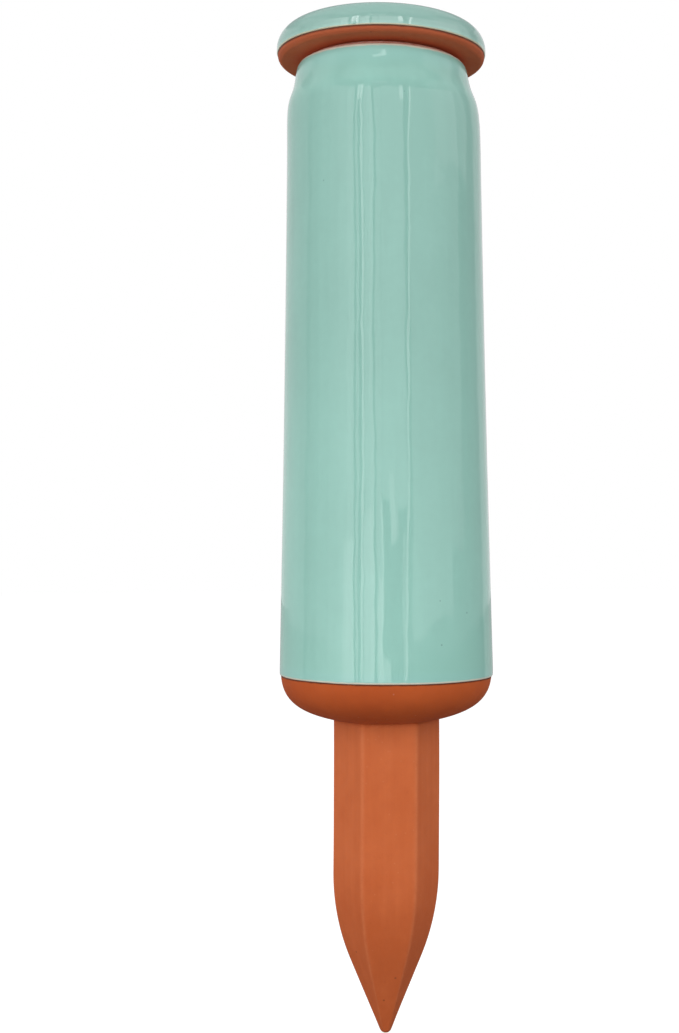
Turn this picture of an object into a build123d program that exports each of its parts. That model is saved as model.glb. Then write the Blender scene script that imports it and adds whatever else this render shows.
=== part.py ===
"""Self watering spike: a glazed clay reservoir on a bare clay stake, with a lift-off lid.

Millimetres. The origin is on the axis, in the flat seat under the bowl where the stake is
luted on, which is also the soil line. +Z runs up to the lid, and one flat of the stake faces -Y.
"""
from build123d import *
from math import atan, cos, radians, sin, tan
import os

# Reservoir, bare clay: its widest radius, and how far it is drawn in from there
belly_radius = 29.06
waist_inset = 1.61
shoulder_inset = 2.76
neck_inset = 5.76
mouth_inset = 5.1

# Reservoir: heights, each on top of the one before, and its walls
belly_height = 14.0
wall_height = 146.0
shoulder_rise = 17.0
lip_rise = 3.05
mouth_depth = 8.5
reservoir_wall = 4.2
floor_thickness = 4.6

# Reservoir: slopes, and how far each curve keeps to its end directions
bowl_slope = 13.5
neck_slope = 7.9
bowl_floor_share = 0.74
bowl_side_share = 0.60
shoulder_low_share = 0.74
shoulder_high_share = 0.57
cavity_curve_share = 0.55

# Glaze coat: its foot lies below the belly, and its rim below the bare lip
glaze_thickness = 0.3
glaze_edge_round = 0.12
glaze_foot_drop = 2.05
glaze_rim_drop = 1.2

# Stake: a hollow hexagon with softened corners, drawn in to a rounded point
stake_across_flats = 25.7
stake_corner_wear = 0.24
stake_wall = 3.6
seat_margin = 0.7
point_start_depth = 42.3
point_draw = 23.7
point_line_share = 0.676
point_round = 1.75
cavity_line_gap = 4.0
cavity_line_share = 0.70
cavity_round = 2.0
cavity_top_depth = 4.0
flat_round_share = 0.5

# Neck of the stake, which stands in the hole of the reservoir's floor
spigot_radius = 8.5
spigot_drop = 1.0
spigot_bore_radius = 5.5
spigot_chamfer = 0.5

# Joining slip, between the stake and the reservoir and smoothed out around them
slip_thickness = 0.3
slip_bead = 0.6

# Lid: a domed disc with a ring below that drops into the mouth
lid_overhang = 5.1
lid_seat_clearance = 0.1
lid_foot_round = 1.5
lid_side_height = 3.15
lid_edge_round = 5.4
lid_dome_slope = 3.0
lid_glaze_gap = 0.3
ring_clearance = 0.7
ring_wall = 3.5
ring_depth = 8.0
ring_round = 1.0
recess_height = 2.4

# Cuts run past the faces that they leave by this much
overrun = 5.0

# Reservoir: radii and heights that follow from the sizes above
waist_radius = belly_radius - waist_inset
shoulder_radius = belly_radius - shoulder_inset
neck_radius = belly_radius - neck_inset
mouth_radius = neck_radius - mouth_inset
waist_height = belly_height + wall_height / 2
shoulder_height = belly_height + wall_height
neck_height = shoulder_height + shoulder_rise
lip_height = neck_height + lip_rise
glaze_foot_height = belly_height - glaze_foot_drop
glaze_rim_height = lip_height - glaze_rim_drop

# The lip is one round from the leaning neck over to its crown
lip_round = lip_rise / (1 - sin(radians(neck_slope)))
crown_radius = neck_radius - lip_round * cos(radians(neck_slope))
mouth_round = crown_radius - mouth_radius

# Stake: half widths, depths, and the seat and the hole that take it
stake_flat = stake_across_flats / 2
stake_corner = stake_flat / cos(radians(30)) - stake_corner_wear
point_line_depth = point_start_depth + point_draw
cavity_line_depth = point_line_depth - cavity_line_gap
seat_radius = stake_corner + seat_margin
spigot_height = floor_thickness - spigot_drop
hole_radius = spigot_radius + slip_thickness

# Lid: it rests on the lip and its ring hangs in the mouth
lid_radius = neck_radius + lid_overhang
lid_underside = lip_height + lid_seat_clearance
lid_glaze_height = lid_foot_round + lid_glaze_gap
ring_radius = mouth_radius - ring_clearance


def leaning(slope):
    """Unit direction that runs up a wall leaning inwards by a slope from upright."""
    return Vector(-sin(radians(slope)), cos(radians(slope)))


def vessel_outline(proud):
    """Draw the reservoir's outside from the seat to the crown of the lip, and return both ends.

    proud is how far the line lies outside the bare clay, as the glaze does.
    """
    wall = ThreePointArc(
        (belly_radius + proud, belly_height),
        (waist_radius + proud, waist_height),
        (shoulder_radius + proud, shoulder_height),
    )
    seat = Vector(seat_radius, -proud)
    bowl_run = (belly_radius - seat_radius) * bowl_floor_share
    bowl_rise = belly_height * bowl_side_share
    floor_direction = Vector(cos(radians(bowl_slope)), sin(radians(bowl_slope)))
    Bezier(seat, seat + floor_direction * bowl_run, wall @ 0 - (wall % 0) * bowl_rise, wall @ 0)

    neck_side = Vector(cos(radians(neck_slope)), sin(radians(neck_slope)))
    neck = Vector(neck_radius, neck_height) + neck_side * proud
    shoulder_low = wall @ 1 + (wall % 1) * shoulder_rise * shoulder_low_share
    shoulder_high = neck - leaning(neck_slope) * shoulder_rise * shoulder_high_share
    Bezier(wall @ 1, shoulder_low, shoulder_high, neck)

    lip = TangentArc(neck, (crown_radius, lip_height + proud), tangent=leaning(neck_slope))
    return seat, lip @ 1


def vessel_cavity():
    """Draw the inside of the reservoir from its floor up to the mouth, and return both ends."""
    wall = ThreePointArc(
        (belly_radius - reservoir_wall, belly_height + floor_thickness),
        (waist_radius - reservoir_wall, waist_height),
        (shoulder_radius - reservoir_wall, shoulder_height),
    )
    floor_edge = Vector(seat_radius, floor_thickness)
    floor_run = Vector((wall @ 0).X - seat_radius, 0) * bowl_floor_share
    floor_rise = (wall % 0) * belly_height * cavity_curve_share
    Bezier(floor_edge, floor_edge + floor_run, wall @ 0 - floor_rise, wall @ 0)

    throat = Vector(mouth_radius, lip_height - mouth_depth)
    throat_rise = (throat.Y - shoulder_height) * cavity_curve_share
    Bezier(wall @ 1, wall @ 1 + (wall % 1) * throat_rise, throat - Vector(0, throat_rise), throat)
    return floor_edge, throat


def point_outline(half_width, top, line_depth, line_share, tip_round):
    """Draw one side of a drawn-in point: an upright, an arc, a straight taper and a round tip."""
    start = Vector(half_width, -point_start_depth)
    line_start = Vector(half_width * line_share, -line_depth)
    taper = 2 * atan((start.X - line_start.X) / (start.Y - line_start.Y))
    tip_centre = line_start.Y - line_start.X / tan(taper) + tip_round / sin(taper)
    line_end = Vector(tip_round * cos(taper), tip_centre - tip_round * sin(taper))
    Line((0, top), (half_width, top))
    Line((half_width, top), start)
    TangentArc(start, line_start, tangent=(0, -1))
    Line(line_start, line_end)
    TangentArc(line_end, (0, tip_centre - tip_round), tangent=line_end - line_start)
    Line((0, tip_centre - tip_round), (0, top))


def drawn_hexagon(flat, corner, top, line_depth, line_share, tip_round):
    """Return a round drawn-in point with three pairs of flats cut on it, one pair facing Y.

    The flats run out to a smaller round than the point's own, so the very tip stays round.
    """
    with BuildPart() as hexagon:
        with BuildSketch(Plane.XZ):
            with BuildLine():
                point_outline(corner, top, line_depth, line_share, tip_round)
            make_face()
        revolve(axis=Axis.Z)
        for turn in (0, 60, 120):
            with BuildSketch(Plane.YZ.rotated((0, 0, turn))):
                with BuildLine():
                    point_outline(flat, top, line_depth, line_share, tip_round * flat_round_share)
                make_face()
                mirror(about=Plane.YZ)
            extrude(amount=corner + overrun, both=True, mode=Mode.INTERSECT)
    return hexagon.part


# Reservoir before it is hollowed, which also shapes the inside of its glaze
with BuildPart() as vessel:
    with BuildSketch(Plane.XZ):
        with BuildLine():
            seat, crown = vessel_outline(0)
            Line(crown, (0, lip_height))
            Line((0, lip_height), (0, 0))
            Line((0, 0), seat)
        make_face()
    revolve(axis=Axis.Z)

# Reservoir: hollow, open at the mouth, with a hole in its floor for the stake's neck
with BuildPart() as reservoir:
    with BuildSketch(Plane.XZ):
        with BuildLine():
            seat, crown = vessel_outline(0)
            mouth_top = Vector(mouth_radius, lip_height - mouth_round)
            TangentArc(crown, mouth_top, tangent=(-1, 0))
            floor_edge, throat = vessel_cavity()
            Line(mouth_top, throat)
            Line(floor_edge, (hole_radius, floor_thickness))
            Line((hole_radius, floor_thickness), (hole_radius, 0))
            Line((hole_radius, 0), seat)
        make_face()
    revolve(axis=Axis.Z)
reservoir.part.label = "reservoir"

# Glaze on the reservoir: a thin coat from the foot line up to the bare lip
with BuildPart() as reservoir_glaze:
    with BuildSketch(Plane.XZ):
        with BuildLine():
            seat, crown = vessel_outline(glaze_thickness)
            Line(crown, (0, crown.Y))
            Line((0, crown.Y), (0, seat.Y))
            Line((0, seat.Y), seat)
        make_face()
    revolve(axis=Axis.Z)
    split(bisect_by=Plane.XY.offset(glaze_foot_height), keep=Keep.TOP)
    split(bisect_by=Plane.XY.offset(glaze_rim_height), keep=Keep.BOTTOM)
    add(vessel.part, mode=Mode.SUBTRACT)
    foot_edge = edges().filter_by(GeomType.CIRCLE).group_by(Axis.Z)[0].sort_by(SortBy.RADIUS)[-1]
    rim_edge = edges().filter_by(GeomType.CIRCLE).group_by(Axis.Z)[-1].sort_by(SortBy.RADIUS)[-1]
    fillet([foot_edge, rim_edge], radius=glaze_edge_round)
reservoir_glaze.part.label = "reservoir_glaze"

# Stake: hollow, so that water reaches the whole of its bare wall
stake_hollow = drawn_hexagon(
    stake_flat - stake_wall, stake_corner - stake_wall, -cavity_top_depth,
    cavity_line_depth, cavity_line_share, cavity_round,
)
stake_blank = drawn_hexagon(
    stake_flat, stake_corner, -slip_thickness,
    point_line_depth, point_line_share, point_round,
)

with BuildPart() as stake:
    add(stake_blank)
    with BuildSketch(Plane.XY.offset(-slip_thickness)):
        Circle(spigot_radius)
    extrude(amount=slip_thickness + spigot_height)
    spigot_edge = edges().group_by(Axis.Z)[-1]
    chamfer(spigot_edge, length=spigot_chamfer)
    add(stake_hollow, mode=Mode.SUBTRACT)
    with BuildSketch(Plane.XY.offset(-cavity_top_depth - overrun)):
        Circle(spigot_bore_radius)
    extrude(amount=cavity_top_depth + spigot_height + overrun * 2, mode=Mode.SUBTRACT)
stake.part.label = "stake"

# Joining slip: fills the joint around the spigot and is smoothed into a bead outside
with BuildPart() as joining_slip:
    with BuildSketch(Plane.XY.offset(-slip_thickness - slip_bead)):
        RegularPolygon(stake_flat, 6, major_radius=False)
    with BuildSketch(Plane.XY):
        RegularPolygon(stake_flat + slip_bead, 6, major_radius=False)
    loft(ruled=True)
    with BuildSketch(Plane.XY.offset(-slip_thickness - slip_bead)):
        Circle(seat_radius)
    extrude(amount=slip_thickness + slip_bead, mode=Mode.INTERSECT)
    with BuildSketch(Plane.XY):
        Circle(hole_radius)
    extrude(amount=spigot_height - spigot_chamfer)
    with BuildSketch(Plane.XY.offset(-cavity_top_depth)):
        Circle(spigot_radius)
    extrude(amount=cavity_top_depth + spigot_height, mode=Mode.SUBTRACT)
    add(stake.part, mode=Mode.SUBTRACT)
joining_slip.part.label = "joining_slip"


def lid_outline(proud):
    """Draw the lid's outside from its flat underside over the edge to the top of its dome."""
    side_radius = lid_radius + proud
    edge_radius = lid_edge_round + proud
    foot = Vector(lid_radius - lid_foot_round, lid_underside - proud)
    foot_top = Vector(side_radius, lid_underside + lid_foot_round)
    side_top = Vector(side_radius, lid_underside + lid_side_height)
    dome = radians(lid_dome_slope)
    edge_end = side_top + Vector(edge_radius * (sin(dome) - 1), edge_radius * cos(dome))
    dome_top = Vector(0, edge_end.Y + edge_end.X * tan(dome / 2))
    Line((0, foot.Y), foot)
    TangentArc(foot, foot_top, tangent=(1, 0))
    Line(foot_top, side_top)
    TangentArc(side_top, edge_end, tangent=(0, 1))
    TangentArc(edge_end, dome_top, tangent=(-cos(dome), sin(dome)))
    Line(dome_top, (0, foot.Y))


# Lid before its ring is added, which also shapes the inside of its glaze
with BuildPart() as lid_blank:
    with BuildSketch(Plane.XZ):
        with BuildLine():
            lid_outline(0)
        make_face()
    revolve(axis=Axis.Z)

# Lid: the ring hangs in the mouth and keeps the lid from sliding off
with BuildPart() as lid:
    add(lid_blank.part)
    with BuildSketch(Plane.XY.offset(lid_underside - ring_depth)):
        Circle(ring_radius)
    extrude(amount=ring_depth + recess_height)
    with BuildSketch(Plane.XY.offset(lid_underside - ring_depth)):
        Circle(ring_radius - ring_wall)
    extrude(amount=ring_depth + recess_height, mode=Mode.SUBTRACT)
    ring_edges = edges().group_by(Axis.Z)[0]
    fillet(ring_edges, radius=ring_round)
lid.part.label = "lid"

# Glaze on the lid: over the top and down the side, with the underside left bare
with BuildPart() as lid_glaze:
    with BuildSketch(Plane.XZ):
        with BuildLine():
            lid_outline(glaze_thickness)
        make_face()
    revolve(axis=Axis.Z)
    split(bisect_by=Plane.XY.offset(lid_underside + lid_glaze_height), keep=Keep.TOP)
    add(lid_blank.part, mode=Mode.SUBTRACT)
    lid_glaze_edge = edges().filter_by(GeomType.CIRCLE).group_by(Axis.Z)[0].sort_by(SortBy.RADIUS)[-1]
    fillet(lid_glaze_edge, radius=glaze_edge_round)
lid_glaze.part.label = "lid_glaze"

# Each piece is written on its own
os.makedirs("parts", exist_ok=True)
export_step(reservoir.part, "parts/reservoir.step")
export_step(reservoir_glaze.part, "parts/reservoir_glaze.step")
export_step(stake.part, "parts/stake.step")
export_step(joining_slip.part, "parts/joining_slip.step")
export_step(lid.part, "parts/lid.step")
export_step(lid_glaze.part, "parts/lid_glaze.step")
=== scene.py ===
"""Self watering spike: the looks of its clay and its glaze, and the studio it stands in.

Sizes are in millimetres, as a potter would give them, and become metres when a mesh is made.
The frame is the CAD model's own: the origin is in the seat under the bowl, +Z runs up to the
lid, and the front of the stake faces -Y.
"""

import logging
import math
from dataclasses import dataclass, field
from enum import Enum

import bpy
import numpy as np
from mathutils import Matrix, Vector


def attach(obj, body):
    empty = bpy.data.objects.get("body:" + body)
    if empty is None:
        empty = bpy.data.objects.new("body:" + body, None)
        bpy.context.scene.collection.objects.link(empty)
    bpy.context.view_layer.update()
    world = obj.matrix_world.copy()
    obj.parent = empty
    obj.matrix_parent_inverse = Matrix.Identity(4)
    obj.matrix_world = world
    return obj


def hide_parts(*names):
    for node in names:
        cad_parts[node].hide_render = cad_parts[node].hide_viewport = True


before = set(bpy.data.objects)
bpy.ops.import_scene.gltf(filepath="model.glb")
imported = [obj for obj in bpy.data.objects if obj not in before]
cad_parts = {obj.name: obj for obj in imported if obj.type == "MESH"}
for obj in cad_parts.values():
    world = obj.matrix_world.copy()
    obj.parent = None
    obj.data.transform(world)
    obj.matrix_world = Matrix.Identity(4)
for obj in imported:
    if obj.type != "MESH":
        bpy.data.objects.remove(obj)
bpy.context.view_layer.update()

MM = 0.001
FRONT = math.radians(-90)  # angle of the front, where the middle of one flat is
SIXTH = math.radians(60)  # angle that each side of the hexagon takes up
FAR = 50.0  # a mark's value where its edge is too far off to count
SUNK = 0.06  # how far the inner face of a glaze coat lies inside the clay
HAIR = 0.01  # keeps two rings apart that would lie on each other
NEAR_EDGE = np.array([0, 0.03, 0.08, 0.15, 0.23, 0.32, 0.42, 0.6, 0.9, 1.4, 2.2])[:, None]

Array = np.ndarray
Colour = tuple[float, float, float]
Point = tuple[float, float, float]
Socket = bpy.types.NodeSocket
log = logging.getLogger("watering_spike")


class Body(Enum):
    """The two bodies of the frame: what stands in the soil, and what lifts off it."""

    VESSEL = "vessel"
    COVER = "cover"


class Coat(Enum):
    """The two fired surfaces, named as the record's material slots."""

    BARE_CLAY = "bare_clay"
    TURQUOISE_GLAZE = "turquoise_glaze"


# ---------------------------------------------------------------- lines and fields

def unit(way: Array) -> Array:
    """A vector's direction, one long."""
    return way / np.hypot(*way)


def leaning(degrees: float) -> Array:
    """Direction that leans inwards from upright: minus the sine, and the cosine, of the angle."""
    return np.array([-math.sin(math.radians(degrees)), math.cos(math.radians(degrees))])


def bezier(a: Array, b: Array, c: Array, d: Array, count: int) -> Array:
    """Sample a cubic curve that leaves a towards b and reaches d from c.

    Formula: the four points weighted by (1-t)^3, 3t(1-t)^2, 3t^2(1-t) and t^3.

    Args:
        a, b, c, d: The curve's points, radius and height each.
        count: How many points to return.

    Returns:
        The points, one row each.
    """
    t = np.linspace(0, 1, count)[:, None]
    s = 1 - t
    return s**3 * a + 3 * t * s**2 * b + 3 * t**2 * s * c + t**3 * d


def tangent_arc(start: Array, end: Array, heading: Array, count: int) -> Array:
    """Sample the circle's arc that leaves start along heading and ends at end.

    Formula: the radius is the chord squared over twice its part across the heading, and the
    arc turns by twice the angle between heading and chord.

    Args:
        start, end: First and last point, radius and height each.
        heading: Direction at the start.
        count: How many points to return.

    Returns:
        The points, one row each.
    """
    start, ahead = np.asarray(start, float), unit(np.asarray(heading, float))
    side = np.array([-ahead[1], ahead[0]])
    chord = np.asarray(end, float) - start
    radius = chord @ chord / (2 * chord @ side)
    turn = np.linspace(0, 2 * math.atan2(chord @ side, chord @ ahead), count)[:, None]
    return start + radius * (side * (1 - np.cos(turn)) + ahead * np.sin(turn))


def arc_through(a: Array, b: Array, c: Array, count: int) -> Array:
    """Sample the circle's arc from a over b to c.

    Formula: the centre is as far from all three points, which gives two linear equations; the
    heading at a is at right angles to its spoke, on the side of c.

    Args:
        a, b, c: Points in order, radius and height each.
        count: How many points to return.

    Returns:
        The points, one row each.
    """
    a, b, c = (np.asarray(p, float) for p in (a, b, c))
    centre = np.linalg.solve(2 * np.array([b - a, c - a]), [b @ b - a @ a, c @ c - a @ a])
    heading = np.array([centre[1] - a[1], a[0] - centre[0]])
    return tangent_arc(a, c, heading * np.sign(heading @ (c - a)), count)


def join(*stretches: Array) -> Array:
    """Put stretches of one line end to end, without the points that repeat the one before.

    Args:
        stretches: The points of each stretch.

    Returns:
        The points of the whole line.
    """
    points = np.concatenate(stretches)
    apart = np.linalg.norm(np.diff(points, axis=0), axis=1) > 1e-6
    return points[np.append(True, apart)]


def rounded_path(corners: list[tuple[float, float]], rounds: tuple[float, ...],
                 steps: int = 7) -> Array:
    """Join corners by straight lines and round each inner corner with a tangent arc.

    Formula: an arc starts and ends its radius times the tangent of half the turn from its
    corner.

    Args:
        corners: Radius and height of each corner.
        rounds: One radius for each corner but the first and the last.
        steps: Points on each arc.

    Returns:
        The points, one row each.
    """
    points = np.array(corners, float)
    ways = np.diff(points, axis=0)
    ways /= np.linalg.norm(ways, axis=1)[:, None]
    parts = [points[:1]]
    for corner, before, after, size in zip(points[1:-1], ways[:-1], ways[1:], rounds):
        back = size * math.tan(math.acos(np.clip(before @ after, -1, 1)) / 2)
        parts.append(tangent_arc(corner - before * back, corner + after * back, before, steps))
    return join(*parts, points[-1:])


def filled(points: Array, step: float) -> Array:
    """Cut each straight part of a line into equal lengths.

    Args:
        points: The line's points.
        step: Largest length of a part.

    Returns:
        The points with the new ones between them.
    """
    length = np.linalg.norm(np.diff(points, axis=0), axis=1)
    counts = np.maximum(1, np.ceil(length / step)).astype(int)
    owner = np.repeat(np.arange(len(length)), counts)
    done = np.repeat(np.cumsum(counts) - counts, counts)
    share = ((np.arange(counts.sum()) - done) / counts[owner])[:, None]
    inside = points[owner] + share * (points[owner + 1] - points[owner])
    return np.vstack([inside, points[-1:]])


def run_length(points: Array) -> Array:
    """Length along a line from its first point to each point."""
    return np.append(0, np.cumsum(np.linalg.norm(np.diff(points, axis=0), axis=1)))


def lifted(line: Array, where: Array, lift: Array) -> tuple[Array, Array]:
    """Places beside a line that is drawn with the solid on its left.

    Formula: the point and the outward normal, which is the direction turned right, are read
    off between the line's points, and the normal times the lift is added to the point.

    Args:
        line: The line's points.
        where: Lengths along the line.
        lift: How far outwards from the line.

    Returns:
        The radii and the heights.
    """
    way = np.gradient(line, axis=0)
    way /= np.linalg.norm(way, axis=1)[:, None]
    length = run_length(line)
    radius = np.interp(where, length, line[:, 0]) + np.interp(where, length, way[:, 1]) * lift
    return radius, np.interp(where, length, line[:, 1]) - np.interp(where, length, way[:, 0]) * lift


def between(low: Array, high: Array, parts: int) -> Array:
    """Rows that cut the way from low to high into equal parts, without its two ends."""
    share = np.linspace(0, 1, parts + 1)[1:-1, None]
    return low * (1 - share) + high * share


def smooth(value: Array, low: float, high: float) -> Array:
    """Rise from 0 at low to 1 at high as 3t^2 - 2t^3, with t cut to its share of the way."""
    t = np.clip((value - low) / (high - low), 0, 1)
    return t * t * (3 - 2 * t)


def rolled(gap: Array, thickness: float, width: float) -> Array:
    """Thickness of a coat at a gap from its edge: a quarter ellipse as wide as its rolled edge."""
    return thickness * np.sqrt(1 - (1 - np.clip(gap / width, 0, 1)) ** 2)


@dataclass(frozen=True)
class Ripple:
    """The slow unevenness that hands and moulds leave.

    The seed picks the waves, the same on each run. Lobes is the largest number of them round
    the piece, and pitch the shortest one up the piece, which an edge line does without.
    """

    seed: int
    lobes: int
    pitch: float = 50.0
    waves: int = 16

    def at(self, angle: Array, height: Array) -> Array:
        """The unevenness, from -1 to 1.

        Formula: the mean of cosines of a whole number times the angle plus a wave number times
        the height plus a phase, divided by its largest value. Whole numbers close the field
        round the axis.

        Args:
            angle, height: Where the field is wanted, in radians and millimetres.

        Returns:
            The field, shaped as angle and height together.
        """
        pick = np.random.default_rng(self.seed)
        around = pick.integers(0, self.lobes + 1, self.waves)
        upward = 2 * math.pi / self.pitch * pick.uniform(-1, 1, self.waves)
        phase = pick.uniform(0, 2 * math.pi, self.waves)
        angle, height = (part[..., None] for part in np.broadcast_arrays(angle, height))
        total = np.cos(angle * around + height * upward + phase).mean(axis=-1)
        return total / np.abs(total).max()

    def hollows(self, angle: Array, height: Array, depth: float) -> Array:
        """How far an uneven face lies inside its true shape, from minus its depth to 0."""
        return (self.at(angle, height) - 1) * depth / 2


@dataclass(frozen=True)
class EdgeLine:
    """The edge of a coat, which wanders up and down and lies lower on one side by its tilt."""

    ripple: Ripple
    wander: float
    tilt: float
    low_side: float = FRONT

    def at(self, angle: Array, level: float) -> Array:
        """Height of the edge at some angles, level being its mean height."""
        tilt = self.tilt * np.cos(angle - self.low_side)
        return level + self.wander * self.ripple.at(angle, np.zeros_like(angle)) - tilt


# ---------------------------------------------------------------- closed surfaces

def round_the_axis(columns: int) -> Array:
    """Equal angles round the axis, one for each column of a turned piece."""
    return np.linspace(0, 2 * math.pi, columns, endpoint=False)


def turned(radius: Array, height: Array, angle: Array, aside: Array | float = 0.0) -> Array:
    """Place rings round the axis: x is r cos a, y is r sin a and z is the height.

    Args:
        radius, height: One value for each ring, or for each ring and column.
        angle: One value for each column.
        aside: How far the rings sit towards +X.

    Returns:
        Points as rings by columns by three.
    """
    radius, height, angle = np.broadcast_arrays(radius, height, angle)
    return np.stack([radius * np.cos(angle) + aside, radius * np.sin(angle), height], axis=-1)


@dataclass
class Skin:
    """A closed surface made of rings of points, in millimetres: rings by columns by three.

    The rings run so that the solid is on the left of the outline. With poles the first and
    the last ring close on a point each, and without them the last ring joins the first. Marks
    are values that the finish reads, by ring or by ring and column.
    """

    rings: Array
    poles: tuple[Point, Point] | None = None
    marks: dict[str, Array] = field(default_factory=dict)

    def faces(self) -> list[list[int]]:
        """Four-sided faces between neighbouring rings, and a fan of triangles at each pole.

        Returns:
            The corners of each face, turning left seen from outside.
        """
        rows, columns, _ = self.rings.shape
        here = np.arange(rows * columns).reshape(rows, columns)
        beside = np.roll(here, -1, axis=1)
        above, beside_above = np.roll(here, -1, axis=0), np.roll(beside, -1, axis=0)
        quads = np.stack([here, beside, beside_above, above], axis=-1)
        if self.poles is None:
            return quads.reshape(-1, 4).tolist()
        first, last = np.full(columns, rows * columns), np.full(columns, rows * columns + 1)
        start_fan = np.stack([first, beside[0], here[0]], axis=-1)
        end_fan = np.stack([here[-1], beside[-1], last], axis=-1)
        return quads[:-1].reshape(-1, 4).tolist() + start_fan.tolist() + end_fan.tolist()

    def piece(self, name: str) -> bpy.types.Object:
        """Make the surface a smooth-shaded object that holds its marks as attributes.

        Args:
            name: The piece's name.

        Returns:
            The new object, at the origin.
        """
        points = self.rings.reshape(-1, 3)
        if self.poles is not None:
            points = np.vstack([points, self.poles])
        mesh = bpy.data.meshes.new(name)
        mesh.from_pydata(points * MM, [], self.faces())
        mesh.shade_smooth()
        for mark, values in self.marks.items():
            values = np.broadcast_to(values, self.rings.shape[:2])
            ends = [] if self.poles is None else [values[0].mean(), values[-1].mean()]
            attribute = mesh.attributes.new(mark, "FLOAT", "POINT")
            flat = np.append(values.ravel(), ends).astype(np.float32)
            attribute.data.foreach_set("value", flat)
        return linked(name, mesh)


def linked(name: str, data: bpy.types.ID) -> bpy.types.Object:
    """Make an object of a mesh, a light or a camera and put it into the scene.

    Args:
        name: The object's name.
        data: What it is made of.

    Returns:
        The new object, at the origin.
    """
    made = bpy.data.objects.new(name, data)
    bpy.context.scene.collection.objects.link(made)
    return made


def seat_piece(made: bpy.types.Object, finish: bpy.types.Material, body: Body,
               node: str) -> None:
    """Give a piece its finish and let it ride in place of a CAD node.

    Args:
        made: The piece.
        finish: Its material.
        body: The body that carries it.
        node: The CAD node that it stands for.
    """
    made.data.materials.append(finish)
    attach(made, body.value)
    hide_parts(node)
    faces = len(made.data.polygons)
    log.info("%s: %d faces on %s, stands for %s", made.name, faces, body.value, node)


# ---------------------------------------------------------------- shader building

def paint(red: int, green: int, blue: int) -> Colour:
    """Turn a screen colour into linear light, by the standard curve with its power of 2.4.

    Args:
        red, green, blue: The screen colour, from 0 to 255.

    Returns:
        The linear colour.
    """
    share = np.array([red, green, blue]) / 255
    linear = np.where(share <= 0.04045, share / 12.92, ((share + 0.055) / 1.055) ** 2.4)
    return tuple(float(value) for value in linear)


class Bench:
    """Sets nodes in a tree and joins them, so that a finish reads like a recipe."""

    def __init__(self, tree: bpy.types.NodeTree) -> None:
        """Keep the tree that nodes go into."""
        self.tree = tree

    def node(self, kind: str, inputs: dict | None = None, **settings: object) -> bpy.types.Node:
        """Add one node.

        Args:
            kind: The node's type, without the word ShaderNode.
            inputs: Values or sockets by input name or number.
            settings: The node's own options.

        Returns:
            The node.
        """
        made = self.tree.nodes.new("ShaderNode" + kind)
        for name, value in settings.items():
            setattr(made, name, value)
        for key, value in (inputs or {}).items():
            self.feed(made.inputs[key], value)
        return made

    def feed(self, socket: Socket, value: object) -> None:
        """Join a socket to another one, or set its value.

        Args:
            socket: An input.
            value: An output to join it to, or a number, vector or colour.
        """
        if isinstance(value, bpy.types.NodeSocket):
            self.tree.links.new(value, socket)
        elif socket.type == "RGBA":
            socket.default_value = (*value, 1.0)
        else:
            socket.default_value = value

    def math(self, operation: str, first: object, second: object, cut: bool = False) -> Socket:
        """Work out one number from two; cut keeps it from 0 to 1."""
        return self.node("Math", {0: first, 1: second}, operation=operation,
                         use_clamp=cut).outputs[0]

    def plus(self, first: object, second: object, cut: bool = False) -> Socket:
        """Add two numbers; cut keeps the sum from 0 to 1."""
        return self.math("ADD", first, second, cut)

    def minus(self, first: object, second: object, cut: bool = False) -> Socket:
        """Take the second number from the first; cut keeps the rest from 0 to 1."""
        return self.math("SUBTRACT", first, second, cut)

    def times(self, first: object, second: object) -> Socket:
        """Multiply two numbers."""
        return self.math("MULTIPLY", first, second)

    def about(self, tone: Socket, share: object) -> Socket:
        """A tone's distance from its middle of one half, times a share."""
        return self.times(self.minus(tone, 0.5), share)

    def blend(self, share: Socket, low: object, high: object) -> Socket:
        """Mix two colours.

        Args:
            share: 0 gives the first colour and 1 the second.
            low, high: The two colours.

        Returns:
            The mixed colour.
        """
        made = self.node("Mix", data_type="RGBA", clamp_factor=True)
        for key, value in ((0, share), (6, low), (7, high)):
            self.feed(made.inputs[key], value)
        return made.outputs[2]

    def lay(self, colour: Socket, mask: Socket, strength: float, over: Colour) -> Socket:
        """Lay another colour over a colour where a mask is, times a strength."""
        return self.blend(self.times(mask, strength), colour, over)

    def scale(self, value: object, from_low: object, from_high: object, low: float = 0.0,
              high: float = 1.0) -> Socket:
        """Carry a number from one range to another along a smooth curve, cut at both ends."""
        return self.node("MapRange", {0: value, 1: from_low, 2: from_high, 3: low, 4: high},
                         interpolation_type="SMOOTHSTEP").outputs[0]

    def noise(self, vector: Socket, scale: object, detail: float, rough: float) -> Socket:
        """Cloudy noise of about 0 to 1, scale being its cells per metre."""
        return self.node("TexNoise", {"Vector": vector, "Scale": scale, "Detail": detail,
                                      "Roughness": rough}).outputs[0]

    def dots(self, vector: Socket, scale: object, outer: object, inner: object,
             share: object, channel: int) -> Socket:
        """Round dots in the middle of some Voronoi cells.

        Args:
            vector: Where.
            scale: Cells per metre.
            outer, inner: Distances from a cell's middle between which its dot sets in.
            share: Share of the cells that have one.
            channel: Channel of the cells' random colour that picks them.

        Returns:
            The mask of the dots.
        """
        cells = self.node("TexVoronoi", {"Vector": vector, "Scale": scale, "Randomness": 1.0})
        dot = self.scale(cells.outputs["Distance"], outer, inner)
        picked = self.node("SeparateColor", {0: cells.outputs["Color"]}).outputs[channel]
        return self.times(dot, self.math("LESS_THAN", picked, share))


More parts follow.
